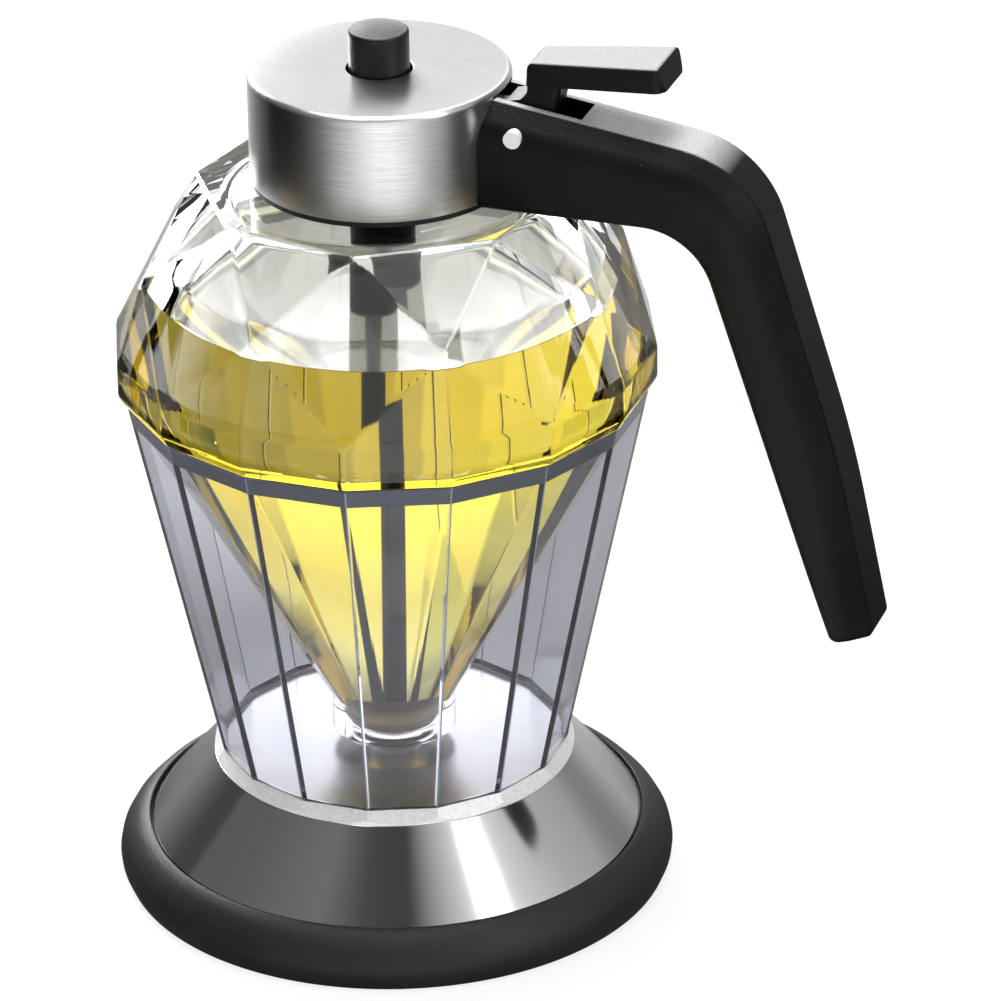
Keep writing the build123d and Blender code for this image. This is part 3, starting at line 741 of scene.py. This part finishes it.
# Gasket: soft silicone ring that the collar presses on the neck's lip. The valve's plug is of the
# same silicone.
silicone, tree, shader = new_finish("silicone", (0.7, 0.58, 0.4), 0.35)
shader.inputs["Transmission Weight"].default_value = 0.45
shader.inputs["Subsurface Weight"].default_value = 0.3
shader.inputs["Subsurface Radius"].default_value = (0.004, 0.003, 0.002)
cloud = noise(tree, own_place(tree), 120.0)
tint = ramp(tree, cloud, ((0.3, (0.66, 0.52, 0.34)), (0.7, (0.78, 0.65, 0.46))))
link(tree, tint, shader.inputs["Base Color"])
dress(nodes["lid_gasket"], silicone)
dress(nodes["valve_stopper"], silicone)

# Cap shell: deep-drawn stainless steel, brushed round its side and straight across its top. The top
# has a hole for the knob, and the side a slot for the lever.
brushing, group_in, group_out = new_group(
    "brushing",
    (("Along", "NodeSocketVector", None), ("Tone", "NodeSocketFloat", 0.1)),
    (("Height", "NodeSocketFloat"), ("Shade", "NodeSocketFloat")),
)
tree = brushing
hairlines = noise(tree, group_in.outputs["Along"], 1.0, 4.0, 0.7)
streak = ramp(tree, hairlines, ((0.3, 0.0), (0.7, 1.0)))
link(tree, hairlines, group_out.inputs["Height"])
shade = math_node(tree, "MULTIPLY", streak, group_in.outputs["Tone"])
link(tree, shade, group_out.inputs["Shade"])


def brushed_finish(name, darkest, tone, stretch_to, on, across):
    """Brushed steel: hairlines that are long one way and fine the other, and a stretched gloss. The
    last two are functions that make the hairlines' coordinates on and across from the piece's axes."""
    material, tree, shader = new_finish(name, (darkest, darkest, darkest), 0.3, 1.0)
    parts = tree.nodes.new("ShaderNodeSeparateXYZ")
    link(tree, own_place(tree), parts.inputs[0])
    along = tree.nodes.new("ShaderNodeCombineXYZ")
    link(tree, on(tree, parts.outputs), along.inputs[0])
    link(tree, across(tree, parts.outputs), along.inputs[1])
    lines = place_group(tree, brushing, Tone=tone)
    link(tree, along.outputs[0], lines.inputs["Along"])
    link(tree, math_node(tree, "ADD", lines.outputs["Shade"], darkest), shader.inputs["Base Color"])
    set_bump(tree, shader, lines.outputs["Height"], 0.12, 0.06)
    shader.inputs["Anisotropic"].default_value = 0.85
    tangent = tree.nodes.new("ShaderNodeCombineXYZ")
    for target, value in zip(tangent.inputs, stretch_to):
        target.default_value = value
    link(tree, tangent.outputs[0], shader.inputs["Tangent"])
    return material


def round_the_side(tree, axes):
    return math_node(tree, "MULTIPLY", math_node(tree, "ARCTAN2", axes[1], axes[0]), 2.2)


def up_the_side(tree, axes):
    return math_node(tree, "MULTIPLY", axes[2], 5200.0)


def slanted(x_scale, y_scale):
    """A coordinate that runs over the top at a slant, from its scales along X and Y."""
    def coordinate(tree, axes):
        from_y = math_node(tree, "MULTIPLY", axes[1], y_scale)
        return math_node(tree, "MULTIPLY_ADD", axes[0], x_scale, from_y)

    return coordinate


side_brushed = brushed_finish("side_brushed", 0.47, 0.3, (0, 0, 1), round_the_side, up_the_side)
top_brushed = brushed_finish(
    "top_brushed", 0.54, 0.16, (0.423, 0.906, 0), slanted(45.0, -21.0), slanted(1700.0, 3640.0)
)
cap_r, cap_z, shell_z, shell_t = 23.0, 155.3, 136.0, 0.6
knob_hole_r, shell_edge_r = 5.85, 1.1
slot_reach, slot_w, slot_h, slot_drop = 20.0, 10.0, 5.4, 0.3
outer = [(knob_hole_r, cap_z), (cap_r, cap_z), (cap_r, shell_z)]
inner = [(cap_r - shell_t, shell_z), (cap_r - shell_t, cap_z - shell_t), (knob_hole_r, cap_z - shell_t)]
profile = rounded(outer + inner, [0.15, shell_edge_r, 0.12, 0.12, 0.5, 0.12], 6)
cap_shell = add_piece("cap_shell_steel", turned(profile, steps=256))
bm = bmesh.new()
bmesh.ops.create_cube(bm, size=1.0)
bmesh.ops.scale(bm, vec=(slot_reach, slot_w, slot_h), verts=bm.verts)
bmesh.ops.translate(bm, vec=(cap_r, 0, cap_z - shell_t - slot_drop - slot_h / 2), verts=bm.verts)
slot = add_piece("cap_slot", bm, 0)
combine(cap_shell, slot)
cap_shell.data.shade_smooth()
cap_shell.data.set_sharp_from_angle(angle=radians(30))
dress(cap_shell, side_brushed)
cap_shell.data.materials.append(top_brushed)
for face in cap_shell.data.polygons:
    if face.normal.z > 0.9:
        face.material_index = 1
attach(cap_shell, "lid")
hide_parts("cap_shell")

# Handle: solid black moulding with a satin skin. Its upper faces are etched for grip, and their pale
# grain is a painted highlight. It is screwed to the collar from inside.
satin_black, satin_gloss = (0.003, 0.0033, 0.0028), 0.14
handle_black = moulded_finish(
    "handle_black", satin_black, roughness=0.4, grain=3000.0, dust=0.5, relief=0.5,
    top_sheen=1.0, top_painted_highlight=(0.3, 0.44), Specular_IOR_Level=satin_gloss,
)
dress(nodes["handle"], handle_black)

# Lever: the same black plastic as the handle, moulded in one with its pad, arm and fork. Its etched
# top faces carry a painted highlight, a little darker than the handle's.
lever_black = moulded_finish(
    "lever_black", satin_black, roughness=0.4, grain=3000.0, dust=0.5, relief=0.5,
    top_sheen=1.0, top_painted_highlight=(0.22, 0.32), Specular_IOR_Level=satin_gloss,
)
dress(nodes["lever"], lever_black)

# Screws, pin and clip: bright drawn steel. The screws hold the handle from inside the collar, and
# the clip on the rod takes the spring's push. The pin, which the lever turns on, crosses the handle.
# Its ends are cut, which leaves them matt and pale.
bright_steel, tree, shader = new_finish("bright_steel", (0.72, 0.72, 0.73), 0.22, 1.0)
haze_over(tree, shader, size=200.0, least=0.14, spread=0.15)
for name in ("handle_screws", "spring_clip"):
    dress(nodes[name], bright_steel)
pin_steel, tree, shader = new_finish("pin_steel", (0.85, 0.85, 0.85), 0.5, 0.4)
haze_over(tree, shader, size=500.0, least=0.4, spread=0.15)
dress(nodes["lever_pin"], pin_steel)

# Return spring: a coil of bright wire in the guide tube, copied from the part with a mesh of its own.
cad_spring = nodes["return_spring"]
spring = bpy.data.objects.new("return_spring_wire", cad_spring.data.copy())
spring.matrix_world = cad_spring.matrix_world.copy()
scene.collection.objects.link(spring)
dress(spring, bright_steel)
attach(spring, "valve")
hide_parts("return_spring")
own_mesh(spring)

# Valve rod and its guide tube: black plastic, moulded smooth. The tube hangs from the lid's deck,
# and the rod runs through it down to the plug in the outlet.
rod_black = moulded_finish(
    "rod_black", (0.005, 0.005, 0.005), roughness=0.35, grain=2600.0, dust=0.0, relief=0.1,
    Specular_IOR_Level=0.1,
)
for name in ("valve_rod", "rod_guide"):
    dress(nodes[name], rod_black)

# Knob: black plastic, pressed on the rod above the cap. The lever's fork lifts it from below. Its
# top has a fine spark-eroded texture, with a faint painted highlight in its colour.
knob_black = moulded_finish(
    "knob_black", (0.004, 0.0042, 0.004), roughness=0.38, grain=2800.0, dust=0.4, relief=0.6,
    top_sheen=0.8, top_painted_highlight=(0.04, 0.08), Specular_IOR_Level=0.3,
)
dress(nodes["lift_knob"], knob_black)
